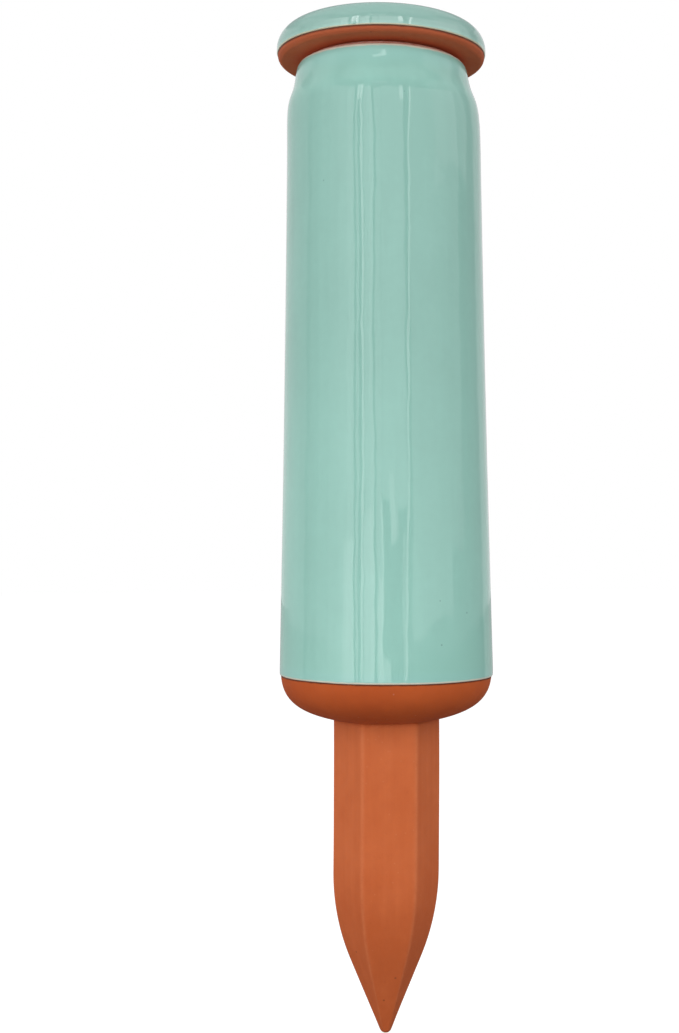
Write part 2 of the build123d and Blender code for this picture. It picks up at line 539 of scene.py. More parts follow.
class EffectGroups:
    """Shader node groups that several finishes use, each built once."""

    def __init__(self) -> None:
        """Build all the groups."""
        self.grain = self._grain()
        self.cloud = self._cloud()
        self.specks = self._specks()
        self.line = self._line()

    @staticmethod
    def _start(name: str, numbers: dict[str, float],
               *outputs: str) -> tuple[Bench, Socket, Socket]:
        """Start a group that takes a vector and some numbers.

        Args:
            name: The group's name.
            numbers: Default of each number that it takes.
            outputs: Names of the numbers that it puts out.

        Returns:
            The bench, the input sockets and the output sockets.
        """
        tree = bpy.data.node_groups.new(name, "ShaderNodeTree")
        face = tree.interface
        face.new_socket(name="Vector", in_out="INPUT", socket_type="NodeSocketVector")
        for key, value in numbers.items():
            socket = face.new_socket(name=key, in_out="INPUT", socket_type="NodeSocketFloat")
            socket.default_value = value
        for key in outputs:
            face.new_socket(name=key, in_out="OUTPUT", socket_type="NodeSocketFloat")
        entry, leave = tree.nodes.new("NodeGroupInput"), tree.nodes.new("NodeGroupOutput")
        return Bench(tree), entry.outputs, leave.inputs

    def _grain(self) -> bpy.types.NodeTree:
        """Sand in the clay: fine noise, a coarser one, and small pits in a share of the cells.

        Returns:
            The group.
        """
        bench, given, out = self._start("clay_grain", {"Cells": 2200.0, "Pits": 0.25},
                                        "Tone", "Height")
        where, cells = given["Vector"], given["Cells"]
        fine = bench.noise(where, cells, 5.0, 0.65)
        coarse = bench.noise(where, bench.times(cells, 0.22), 3.0, 0.55)
        pits = bench.dots(where, bench.times(cells, 0.3), 0.34, 0.12, given["Pits"], 0)
        tone = bench.plus(bench.times(fine, 0.55), bench.times(coarse, 0.45))
        bench.feed(out["Tone"], bench.minus(tone, bench.times(pits, 0.12)))
        bench.feed(out["Height"], bench.minus(tone, bench.times(pits, 0.7)))
        return bench.tree

    def _cloud(self) -> bpy.types.NodeTree:
        """Slow patches of lighter and darker tone, from 0 to 1 about a middle of one half.

        Returns:
            The group.
        """
        bench, given, out = self._start("tone_cloud", {"Cells": 40.0, "Contrast": 2.0}, "Tone")
        noise = bench.noise(given["Vector"], given["Cells"], 3.0, 0.5)
        bench.feed(out["Tone"], bench.plus(bench.about(noise, given["Contrast"]), 0.5, cut=True))
        return bench.tree

    def _specks(self) -> bpy.types.NodeTree:
        """Sparse round specks: the middle of a Voronoi cell, in a share of the cells.

        Returns:
            The group.
        """
        bench, given, out = self._start(
            "kiln_specks", {"Cells": 300.0, "Radius": 0.12, "Share": 0.1}, "Mask")
        inner = bench.times(given["Radius"], 0.5)
        bench.feed(out["Mask"], bench.dots(given["Vector"], given["Cells"], given["Radius"],
                                           inner, given["Share"], 1))
        return bench.tree

    def _line(self) -> bpy.types.NodeTree:
        """A soft uneven band up to some width from an edge, whose distance a mark gives.

        Returns:
            The group.
        """
        bench, given, out = self._start(
            "edge_line", {"Distance": 0.0, "From": -1.0, "To": 0.4, "Soft": 0.1, "Uneven": 0.2},
            "Mask")
        wander = bench.about(bench.noise(given["Vector"], 420.0, 3.0, 0.6), given["Uneven"])
        where, soft = bench.plus(given["Distance"], wander), given["Soft"]
        begin, end = (bench.scale(where, bench.minus(given[key], soft),
                                  bench.plus(given[key], soft)) for key in ("From", "To"))
        bench.feed(out["Mask"], bench.minus(begin, end, cut=True))
        return bench.tree


# ---------------------------------------------------------------- finishes

@dataclass(frozen=True)
class Clouds:
    """Patches of tone: cells per metre, their contrast, and how far they change the tone."""

    cells: float
    contrast: float
    share: float


@dataclass(frozen=True)
class Specks:
    """Specks: cells per metre, a speck's radius in cells, share of cells, and strength."""

    cells: float
    radius: float
    share: float
    strength: float


@dataclass(frozen=True)
class EdgeBand:
    """A band beside an edge: width, softness and unevenness in millimetres, and strength."""

    width: float
    soft: float
    uneven: float
    strength: float


@dataclass(frozen=True)
class Streaks:
    """Streaks up and down: cells per metre across and up, detail, and its roughness."""

    across: float
    up: float
    detail: float
    rough: float


class Coating(Bench):
    """A material's bench, with its principled shader and its object coordinates."""

    def __init__(self, name: str, effects: EffectGroups) -> None:
        """Start a material.

        Args:
            name: The finish's name.
            effects: The shared node groups.
        """
        self.made = bpy.data.materials.new(name)
        self.made.use_nodes = True
        self.made.node_tree.nodes.clear()
        super().__init__(self.made.node_tree)
        self.effects = effects
        self.shader = self.node("BsdfPrincipled")
        self.output = self.node("OutputMaterial", {"Surface": self.shader.outputs[0]})
        self.where = self.node("TexCoord").outputs["Object"]

    def level(self) -> Socket:
        """Read the height of the point that is shaded, in metres."""
        return self.node("SeparateXYZ", {0: self.where}).outputs[2]

    def effect(self, group: bpy.types.NodeTree, **inputs: object) -> bpy.types.NodeOutputs:
        """Set a shared group in the material, and return its outputs."""
        return self.node("Group", {"Vector": self.where, **inputs}, node_tree=group).outputs

    def mark(self, name: str) -> Socket:
        """Read a mark that the piece carries."""
        return self.node("Attribute", attribute_name=name).outputs["Fac"]

    def clouded(self, clouds: Clouds) -> Socket:
        """Patches of lighter and darker tone."""
        return self.effect(self.effects.cloud, Cells=clouds.cells,
                           Contrast=clouds.contrast)["Tone"]

    def streaked(self, streaks: Streaks) -> Socket:
        """Noise that is drawn out along the piece."""
        stretch = (streaks.across, streaks.across, streaks.up)
        vector = self.node("Mapping", {"Vector": self.where, "Scale": stretch}).outputs[0]
        return self.noise(vector, 1.0, streaks.detail, streaks.rough)

    def specked(self, colour: Socket, specks: Specks, over: Colour) -> Socket:
        """Lay specks of another colour over a colour."""
        mask = self.effect(self.effects.specks, Cells=specks.cells, Radius=specks.radius,
                           Share=specks.share)["Mask"]
        return self.lay(colour, mask, specks.strength, over)

    def banded(self, colour: Socket, mark: str, band: EdgeBand, over: Colour) -> Socket:
        """Lay a band of another colour over a colour, beside the edge that a mark measures."""
        mask = self.effect(self.effects.line, Distance=self.mark(mark), To=band.width,
                           Soft=band.soft, Uneven=band.uneven)["Mask"]
        return self.lay(colour, mask, band.strength, over)

    def dress(self, colour: Socket, rough: Socket, height: Socket, depth: float, ior: float,
              shine: float) -> bpy.types.Material:
        """Join all that was worked out to the shader.

        Args:
            colour, rough: Colour and roughness over the surface.
            height: Its relief, from 0 to 1.
            depth: What 1 stands for, in metres.
            ior: How strongly it bends light.
            shine: How strongly it mirrors; 0.5 is plain glass.

        Returns:
            The material.
        """
        bump = self.node("Bump", {"Height": height, "Strength": 1.0, "Distance": depth})
        for key, value in (("Base Color", colour), ("Roughness", rough), ("IOR", ior),
                           ("Specular IOR Level", shine), ("Normal", bump.outputs[0])):
            self.feed(self.shader.inputs[key], value)
        return self.made


@dataclass(frozen=True)
class ClayFinish:
    """Bare fired earthenware: sandy, matt, a little cloudy, with specks, rubbed edges and some
    painted light and shade.

    Its body turns to ember in darker patches and, if its two heights in metres differ,
    downwards between them as painted shade. The dust and sheen colour is that of bright specks
    and of the pale mark: rubbed clay on a lip, a painted highlight on corners. The burnt and
    shade colour is that of burnt specks and of the painted shade line beside the glaze, for the
    shadow under the glaze's step, and wiped that of a darker band below the glaze's edge, where
    the glaze was wiped off. The drawn marks run up and down, where its tool or a sponge went. A
    share tells how far something changes the tone, cells are counted per metre, and
    grain_depth is in millimetres. The rub and highlight grain gives the tones of the grain
    between which the rubbing and the painted highlight bite, and how far they do at both; rough
    is the roughness at the tones of sandy.
    """

    name: str
    body: Colour
    ember: Colour
    dust_and_sheen: Colour
    burnt_and_shade: Colour = paint(74, 40, 28)
    wiped: Colour = paint(176, 88, 54)
    patches: Clouds = Clouds(45.0, 2.2, 0.55)
    blots: Clouds = Clouds(270.0, 1.6, 0.22)
    bright: Specks = Specks(700.0, 0.20, 0.06, 0.16)
    burnt: Specks = Specks(410.0, 0.16, 0.07, 0.4)
    drawn: Streaks = Streaks(520.0, 26.0, 3.0, 0.6)
    drawn_share: float = 0.0
    drawn_height: float = 0.9
    grain_cells: float = 2300.0
    grain_share: float = 0.55
    grain_depth: float = 0.035
    painted_shade_line: EdgeBand | None = None
    wiped_band: EdgeBand | None = None
    rub_and_highlight: float = 0.0
    painted_shade_from: float = 0.0
    painted_shade_to: float = 0.0
    painted_shade: float = 0.45
    rub_and_highlight_grain: tuple[float, float, float, float] = (0.3, 0.6, 0.35, 1.0)
    sandy: tuple[float, float] = (0.3, 0.7)
    rough: tuple[float, float] = (0.70, 0.92)
    ior: float = 1.45
    shine: float = 0.35

    def material(self, effects: EffectGroups) -> bpy.types.Material:
        """Build the material.

        Args:
            effects: The shared node groups.

        Returns:
            The material.
        """
        clay = Coating(self.name, effects)
        grain = clay.effect(effects.grain, Cells=self.grain_cells)
        tone = clay.about(clay.clouded(self.patches), self.patches.share)
        tone = clay.plus(tone, clay.about(clay.clouded(self.blots), self.blots.share))
        tone = clay.plus(tone, clay.about(grain["Tone"], self.grain_share))
        height = grain["Height"]
        if self.drawn_share:
            marks = clay.streaked(self.drawn)
            tone = clay.plus(tone, clay.about(marks, self.drawn_share))
            height = clay.plus(height, clay.times(marks, self.drawn_height))
        # painted shade: the tone darkens towards ember downwards between two heights
        if self.painted_shade_from != self.painted_shade_to:
            painted_shade = clay.scale(clay.level(), self.painted_shade_from, self.painted_shade_to, 0.0, self.painted_shade)
            tone = clay.minus(tone, painted_shade)
        colour = clay.blend(clay.plus(tone, 0.5, cut=True), self.ember, self.body)
        colour = clay.specked(colour, self.bright, self.dust_and_sheen)
        colour = clay.specked(colour, self.burnt, self.burnt_and_shade)
        # paler where the mark is: rubbed clay on a lip, a painted highlight on the stake's corners
        if self.rub_and_highlight:
            rub_and_highlight_grain = clay.times(clay.mark("rubbed_and_highlit"), clay.scale(grain["Tone"], *self.rub_and_highlight_grain))
            colour = clay.lay(colour, rub_and_highlight_grain, self.rub_and_highlight, self.dust_and_sheen)
        if self.wiped_band:
            colour = clay.banded(colour, "from_glaze", self.wiped_band, self.wiped)
        # painted shade: a dark line on the clay beside the glaze's edge, for the shadow under its
        # step
        if self.painted_shade_line:
            colour = clay.banded(colour, "from_glaze", self.painted_shade_line, self.burnt_and_shade)
        rough = clay.scale(grain["Tone"], *self.sandy, *self.rough)
        return clay.dress(colour, rough, height, self.grain_depth * MM, self.ior, self.shine)


@dataclass(frozen=True)
class GlazeFinish:
    """Gloss glaze: milky turquoise, cloudy in patches, cream where it thins at an edge.

    Its stronger deep turns to the paler milk downwards between two heights, which on the body's
    glaze is painted light, brighter lower down, and it turns milky again by pale between
    pale_from and pale_to, where it stretches over a shoulder; all four are heights in metres.
    Pool is the paler, bluer colour beside its lower edge, cream that of its thin edge and speck
    that of its burnt specks. Gloss is the roughness at the tones of cloudy. Wave and peel are
    the heights of its slow and fine waves in millimetres, which bend the reflections, and shine
    is how strongly it mirrors, 0.5 being plain glass.
    """

    name: str
    milk: Colour
    deep: Colour
    pool: Colour
    cream: Colour
    pool_band: EdgeBand
    cream_band: EdgeBand
    speck: Colour = paint(96, 128, 118)
    burnt: Specks = Specks(190.0, 0.06, 0.10, 0.45)
    clouds: Clouds = Clouds(26.0, 2.0, 0.5)
    mottle: Clouds = Clouds(420.0, 1.2, 0.2)
    runs: Streaks = Streaks(170.0, 9.0, 3.0, 0.55)
    runs_share: float = 0.5
    cloudy: tuple[float, float] = (0.2, 0.8)
    gloss: tuple[float, float] = (0.015, 0.04)
    waves: Streaks = Streaks(120.0, 60.0, 2.0, 0.4)
    wave: float = 0.17
    peel: float = 0.0008
    peel_cells: float = 520.0
    shine: float = 0.5
    lighter_from: float = 0.19
    lighter_to: float = 0.01
    pale: float = 0.0
    pale_from: float = 0.1655
    pale_to: float = 0.1695
    ior: float = 1.5

    def material(self, effects: EffectGroups) -> bpy.types.Material:
        """Build the material.

        Args:
            effects: The shared node groups.

        Returns:
            The material.
        """
        glaze = Coating(self.name, effects)
        mottle = glaze.clouded(self.mottle)
        # painted light: the glaze turns paler downwards, brighter lower down on the body
        thick = glaze.scale(glaze.level(), self.lighter_from, self.lighter_to)
        tone = glaze.times(thick, thick)
        for effect, share in ((glaze.clouded(self.clouds), self.clouds.share),
                              (glaze.streaked(self.runs), self.runs_share),
                              (mottle, self.mottle.share)):
            tone = glaze.plus(tone, glaze.about(effect, share))
        if self.pale:
            pale = glaze.scale(glaze.level(), self.pale_from, self.pale_to, 0.0, self.pale)
            tone = glaze.plus(tone, pale)
        colour = glaze.blend(glaze.plus(tone, 0.0, cut=True), self.deep, self.milk)
        colour = glaze.banded(colour, "from_edge", self.pool_band, self.pool)
        colour = glaze.banded(colour, "from_edge", self.cream_band, self.cream)
        colour = glaze.specked(colour, self.burnt, self.speck)
        slow = glaze.times(glaze.streaked(self.waves), self.wave)
        fine = glaze.times(glaze.noise(glaze.where, self.peel_cells, 2.0, 0.5), self.peel)
        return glaze.dress(colour, glaze.scale(mottle, *self.cloudy, *self.gloss),
                           glaze.plus(slow, fine), MM, self.ior, self.shine)


@dataclass(frozen=True)
class FloorFinish:
    """Pale studio floor, which the camera sees lit almost white with a soft shadow on it.

    Board is its own colour and bounce the greyer one that it throws back on the object. Glow
    is the share of even light, as bright as white, that the camera sees on it.
    """

    name: str
    board: Colour
    glow: float
    bounce: Colour
    white: float = 1.42
    fibre: float = 0.04
    rough: float = 0.9
    shine: float = 0.1

    def material(self, effects: EffectGroups) -> bpy.types.Material:
        """Build the material, which is clear from below.

        Args:
            effects: The shared node groups.

        Returns:
            The material.
        """
        floor = Coating(self.name, effects)
        seen = floor.node("LightPath").outputs["Is Camera Ray"]
        fibre = floor.noise(floor.where, 300.0, 2.0, 0.5)
        board = floor.blend(floor.times(fibre, self.fibre), self.board, self.bounce)
        floor.feed(floor.shader.inputs["Base Color"], floor.blend(seen, self.bounce, board))
        floor.feed(floor.shader.inputs["Roughness"], self.rough)
        floor.feed(floor.shader.inputs["Specular IOR Level"], self.shine)
        white = floor.node("Emission", {"Color": (1.0, 1.0, 1.0), "Strength": self.white})
        lit = floor.node("MixShader", {0: floor.times(seen, self.glow),
                                       1: floor.shader.outputs[0], 2: white.outputs[0]})
        clear = floor.node("BsdfTransparent")
        under = floor.node("NewGeometry").outputs["Backfacing"]
        both = floor.node("MixShader", {0: under, 1: lit.outputs[0], 2: clear.outputs[0]})
        floor.feed(floor.output.inputs["Surface"], both.outputs[0])
        return floor.made


BOWL_CLAY = ClayFinish("bowl_clay", body=paint(205, 97, 43), ember=paint(180, 76, 28),
                       dust_and_sheen=paint(226, 190, 176), rub_and_highlight=0.85,
                       # painted shade: the dark line beside the glaze's edge
                       painted_shade_line=EdgeBand(0.35, 0.245, 0.35, 0.85))
STAKE_CLAY = ClayFinish("stake_clay", body=paint(224, 120, 70), ember=paint(203, 99, 50),
                        # its paler corners are a painted highlight
                        dust_and_sheen=paint(230, 150, 108), drawn_share=0.5, rub_and_highlight=0.2,
                        # its darkening towards the point is painted shade
                        painted_shade_from=-0.01, painted_shade_to=-0.075)
SLIP_CLAY = ClayFinish("slip_clay", body=paint(206, 97, 48), ember=paint(184, 80, 36),
                       dust_and_sheen=paint(205, 120, 78))
# its body is lighter than the bowl's clay: painted light on the lid's underside, which gets little
# light from below
LID_CLAY = ClayFinish("lid_clay", body=paint(214, 112, 70), ember=paint(190, 90, 50),
                      # painted shade: the dark line beside the glaze's edge
                      dust_and_sheen=paint(222, 140, 100), painted_shade_line=EdgeBand(0.4, 0.28, 0.35, 0.85),
                      wiped_band=EdgeBand(1.45, 0.3, 0.2, 0.75))
# its glaze turns paler downwards: painted light, brighter on the lower body
BODY_GLAZE = GlazeFinish("turquoise_body", milk=paint(156, 209, 196), deep=paint(142, 190, 178),
                         pool=paint(158, 212, 203), cream=paint(228, 220, 202), pale=0.3,
                         pool_band=EdgeBand(2.6, 1.56, 1.3, 0.55),
                         cream_band=EdgeBand(0.5, 0.14, 0.3, 0.9))
LID_GLAZE = GlazeFinish("turquoise_lid", milk=paint(144, 187, 176), deep=paint(135, 176, 166),
                        pool=paint(158, 203, 190), cream=paint(214, 206, 176), wave=0.03,
                        shine=0.85, lighter_from=0.192, lighter_to=0.180,
                        pool_band=EdgeBand(0.9, 0.54, 0.45, 0.55),
                        cream_band=EdgeBand(0.3, 0.14, 0.3, 0.9))
STUDIO_FLOOR = FloorFinish("studio_floor", board=paint(246, 246, 246), glow=0.6,
                           bounce=paint(140, 138, 136))


# ---------------------------------------------------------------- the vessel

@dataclass
class Reservoir:
    """The tall clay vessel and its glaze coat, with the CAD model's sizes."""

    belly_radius: float = 29.06
    waist_inset: float = 1.61
    shoulder_inset: float = 2.76
    neck_inset: float = 5.76
    mouth_inset: float = 5.1
    belly_height: float = 14.0
    wall_height: float = 146.0
    shoulder_rise: float = 17.0
    lip_rise: float = 3.05
    mouth_depth: float = 8.5
    wall: float = 4.2
    floor: float = 4.6
    bowl_slope: float = 13.5
    neck_slope: float = 7.9
    bowl_floor_share: float = 0.74
    bowl_side_share: float = 0.60
    shoulder_low_share: float = 0.74
    shoulder_high_share: float = 0.57
    cavity_curve_share: float = 0.55
    seat_radius: float = 15.3
    hole_radius: float = 8.8
    hole_edge: float = 0.3
    hole_rounds: tuple[float, ...] = (0.5, 0.1)
    glaze: float = 0.3
    glaze_roll: float = 0.42
    glaze_foot_drop: float = 2.25
    glaze_rim_drop: float = 1.2
    rim_cream_and_highlight: float = 0.6
    foot: EdgeLine = EdgeLine(Ripple(5, 9), 0.08, 0.36, 0.0)
    rim: EdgeLine = EdgeLine(Ripple(8, 11), 0.08, 0.25)
    wiped_from: float = 1.7
    wiped_to: float = 1.1
    neck_aside: float = -0.5
    neck_bend: float = 4.0
    unevenness: float = 0.08
    ripple: Ripple = Ripple(11, 5, 55.0)
    true_below: float = 0.5
    uneven_above: float = 6.0
    longest_face: float = 2.6
    columns: int = 288

    @property
    def shoulder_height(self) -> float:
        """Height where the shoulder starts."""
        return self.belly_height + self.wall_height

    @property
    def neck(self) -> Array:
        """Radius and height where the lip starts."""
        return np.array([self.belly_radius - self.neck_inset,
                         self.shoulder_height + self.shoulder_rise])

    @property
    def lip_height(self) -> float:
        """Height of the lip's crown, which the lid rests on."""
        return self.neck[1] + self.lip_rise

    @property
    def mouth_radius(self) -> float:
        """Radius of the mouth below the lip."""
        return self.belly_radius - self.neck_inset - self.mouth_inset

    @property
    def crown_radius(self) -> float:
        """Radius of the lip's crown."""
        lean = math.radians(self.neck_slope)
        return self.neck[0] - self.lip_rise / (1 - math.sin(lean)) * math.cos(lean)

    def wall_line(self, inset: float, start: float, count: int) -> Array:
        """The wall's slow arc from the belly over the waist to the shoulder.

        Args:
            inset: How far it lies inside the outer face.
            start: Height where it starts.
            count: How many points to return.

        Returns:
            The points, one row each.
        """
        radius, middle = self.belly_radius - inset, self.belly_height + self.wall_height / 2
        return arc_through((radius, start), (radius - self.waist_inset, middle),
                           (radius - self.shoulder_inset, self.shoulder_height), count)

    def outside(self) -> Array:
        """The outline from the seat over the bowl, wall and shoulder to the crown of the lip.

        Formula: a cubic bowl that starts at its slope and ends along the wall, a three-point
        arc for the wall, a cubic shoulder that ends along the neck's lean, and a tangent arc.

        Returns:
            The points, one row each.
        """
        wall = self.wall_line(0.0, self.belly_height, count=90)
        start, end = unit(wall[1] - wall[0]), unit(wall[-1] - wall[-2])
        seat, lean = np.array([self.seat_radius, 0.0]), leaning(self.neck_slope)
        run = (self.belly_radius - self.seat_radius) * self.bowl_floor_share
        bowl = bezier(seat, seat + leaning(self.bowl_slope - 90) * run,
                      wall[0] - start * self.belly_height * self.bowl_side_share, wall[0],
                      count=44)
        shoulder = bezier(wall[-1], wall[-1] + end * self.shoulder_rise * self.shoulder_low_share,
                          self.neck - lean * self.shoulder_rise * self.shoulder_high_share,
                          self.neck, count=40)
        lip = tangent_arc(self.neck, (self.crown_radius, self.lip_height), lean, count=14)
        return join(bowl, wall, shoulder, lip)

    def cavity(self) -> Array:
        """The inside from the throat below the mouth down the wall to the floor.

        Formula: the wall's arc moved in by the wall's thickness, with a cubic at each end.

        Returns:
            The points, one row each.
        """
        wall = self.wall_line(self.wall, self.belly_height + self.floor, count=60)
        edge = np.array([self.seat_radius, self.floor])
        run = np.array([(wall[0, 0] - self.seat_radius) * self.bowl_floor_share, 0.0])
        rise = np.array([0.0, self.belly_height * self.cavity_curve_share])
        base = bezier(edge, edge + run, wall[0] - rise, wall[0], count=24)
        throat = np.array([self.mouth_radius, self.lip_height - self.mouth_depth])
        climb = (throat[1] - self.shoulder_height) * self.cavity_curve_share
        top = bezier(wall[-1], wall[-1] + unit(wall[-1] - wall[-2]) * climb,
                     throat - np.array([0.0, climb]), throat, count=16)
        return join(base, wall, top)[::-1]

    def hollows(self, angle: Array, height: Array) -> Array:
        """How far the wall is pushed in by hand, which is nothing at the true seat."""
        return self.ripple.hollows(angle, height, self.unevenness) * smooth(
            height, self.true_below, self.uneven_above)

    def foot_line(self, angle: Array) -> Array:
        """Height of the glaze's lower edge."""
        return self.foot.at(angle, self.belly_height - self.glaze_foot_drop)

    def aside(self, height: Array) -> Array:
        """How far the thrown neck sits aside of the axis, rising smoothly above the shoulder."""
        start = self.shoulder_height - self.neck_bend
        return self.neck_aside * smooth(height, start, self.lip_height)

    def clay_skin(self) -> Skin:
        """The clay: out along the seat, up the outside, over the lip and down inside to the hole.

        Formula: the outline is carried round the axis and pushed in by the hollows. The mark
        from_glaze is the length along the outline below the foot of the glaze, and the mark
        rubbed is 1 on the lip, which was wiped pale.

        Returns:
            A closed skin with no poles.
        """
        outside, edge = self.outside(), self.hole_radius + self.hole_edge
        fall = self.crown_radius - self.mouth_radius
        throat = (self.mouth_radius, self.lip_height - fall)
        mouth = tangent_arc(outside[-1], throat, (-1, 0), count=10)
        hole = rounded_path([(self.seat_radius, self.floor), (self.hole_radius, self.floor),
                             (self.hole_radius, 0.0), (edge, 0.0)], self.hole_rounds, steps=5)
        bottom = np.array([(edge, 0.0), (self.seat_radius, 0.0)])
        line = filled(join(bottom, outside, mouth, self.cavity(), hole)[:-1], self.longest_face)
        angle, length, level = round_the_axis(self.columns), run_length(line), line[:, 1:]
        radius, height = lifted(line, length[:, None], self.hollows(angle, level))
        crown = int(np.argmax(line[:, 1]))
        foot = np.interp(self.foot_line(angle), line[:crown, 1], length[:crown])
        below = np.arange(len(line))[:, None] < crown
        lip = smooth(level, self.lip_height - self.wiped_from, self.lip_height - self.wiped_to)
        return Skin(turned(radius, height, angle, self.aside(level)),
                    marks={"from_glaze": np.where(below, foot - length[:, None], FAR),
                           "rubbed_and_highlit": lip})

    def glaze_skin(self) -> Skin:
        """The coat from its foot on the bowl to its rim below the lip, with rolled edges.

        Formula: rows are set by their length from the foot, from the rim, or between the two.
        The mark from_edge is the length to the nearer edge, shortened at the rim where the
        coat is thin, which widens the cream band there, partly into a painted highlight.

        Returns:
            A closed skin with no poles.
        """
        line, angle = self.outside(), round_the_axis(self.columns)
        length = run_length(line)
        foot = np.interp(self.foot_line(angle), line[:, 1], length)
        rim = np.interp(self.rim.at(angle, self.lip_height - self.glaze_rim_drop),
                        line[:, 1], length)
        middle = between(foot + NEAR_EDGE[-1], rim - NEAR_EDGE[-1], parts=117)
        outer = np.vstack([foot + NEAR_EDGE, middle, (rim - NEAR_EDGE)[::-1]])
        inner = between(rim, foot, parts=25)
        thick = rolled(np.minimum(outer - foot, rim - outer), self.glaze, self.glaze_roll)
        where, lift = np.vstack([outer, inner]), np.vstack([thick, np.full_like(inner, -SUNK)])
        lift += self.hollows(angle, np.interp(where, length, line[:, 1]))
        radius, height = lifted(line, where, lift)
        # shortened at the rim: the cream band there is the glaze thinning, widened into a painted
        # highlight
        mark = np.minimum(outer - foot, (rim - outer) * self.rim_cream_and_highlight)
        return Skin(turned(radius, height, angle, self.aside(height)),
                    marks={"from_edge": np.vstack([mark, np.zeros_like(inner)])})

    def build(self, effects: EffectGroups) -> None:
        """Make both pieces, dress them and seat them on the vessel."""
        seat_piece(self.clay_skin().piece("reservoir_clay"), BOWL_CLAY.material(effects),
                   Body.VESSEL, "reservoir")
        seat_piece(self.glaze_skin().piece("reservoir_glaze_coat"), BODY_GLAZE.material(effects),
                   Body.VESSEL, "reservoir_glaze")


@dataclass(frozen=True)
class Taper:
    """How the stake is drawn in: upright, then an arc, a straight part and a round tip.

    Start and end are the depths below the seat between which the arc lies, share is the share
    of the half width that is left at its end, and tip_round the tip's radius at the corners.
    """

    start: float
    end: float
    share: float
    tip_round: float

    def tip(self, width: float, size: float) -> tuple[float, float]:
        """Where the straight part leads.

        Formula: the arc turns by twice the angle of its chord, and a ball that touches the
        straight part has its middle its radius over that angle's sine above the meeting point.

        Args:
            width: Full half width.
            size: Radius of the tip.

        Returns:
            The straight part's angle from upright, and the height of the tip's middle.
        """
        angle = 2 * math.atan(width * (1 - self.share) / (self.end - self.start))
        meeting = -self.end - width * self.share / math.tan(angle)
        return angle, meeting + size / math.sin(angle)

    def half_width(self, height: Array, width: float, size: float) -> Array:
        """Half width at some heights.

        Formula: the full width, a circle's arc, a straight line and a ball, each from where
        the one above it ends.

        Args:
            height: Heights, negative below the seat.
            width: Full half width.
            size: Radius of the tip.

        Returns:
            The half widths, 0 below the tip.
        """
        angle, middle = self.tip(width, size)
        radius = (self.end - self.start) / math.sin(angle)
        arc = np.sqrt(np.clip(radius**2 - (height + self.start) ** 2, 0, None))
        line = width * self.share + (self.end + height) * math.tan(angle)
        ball = np.sqrt(np.clip(size**2 - (height - middle) ** 2, 0, None))
        touch = middle - size * math.sin(angle)
        return np.select([height >= -self.start, height >= -self.end, height >= touch],
                         [np.full_like(height, width), width - radius + arc, line], ball)


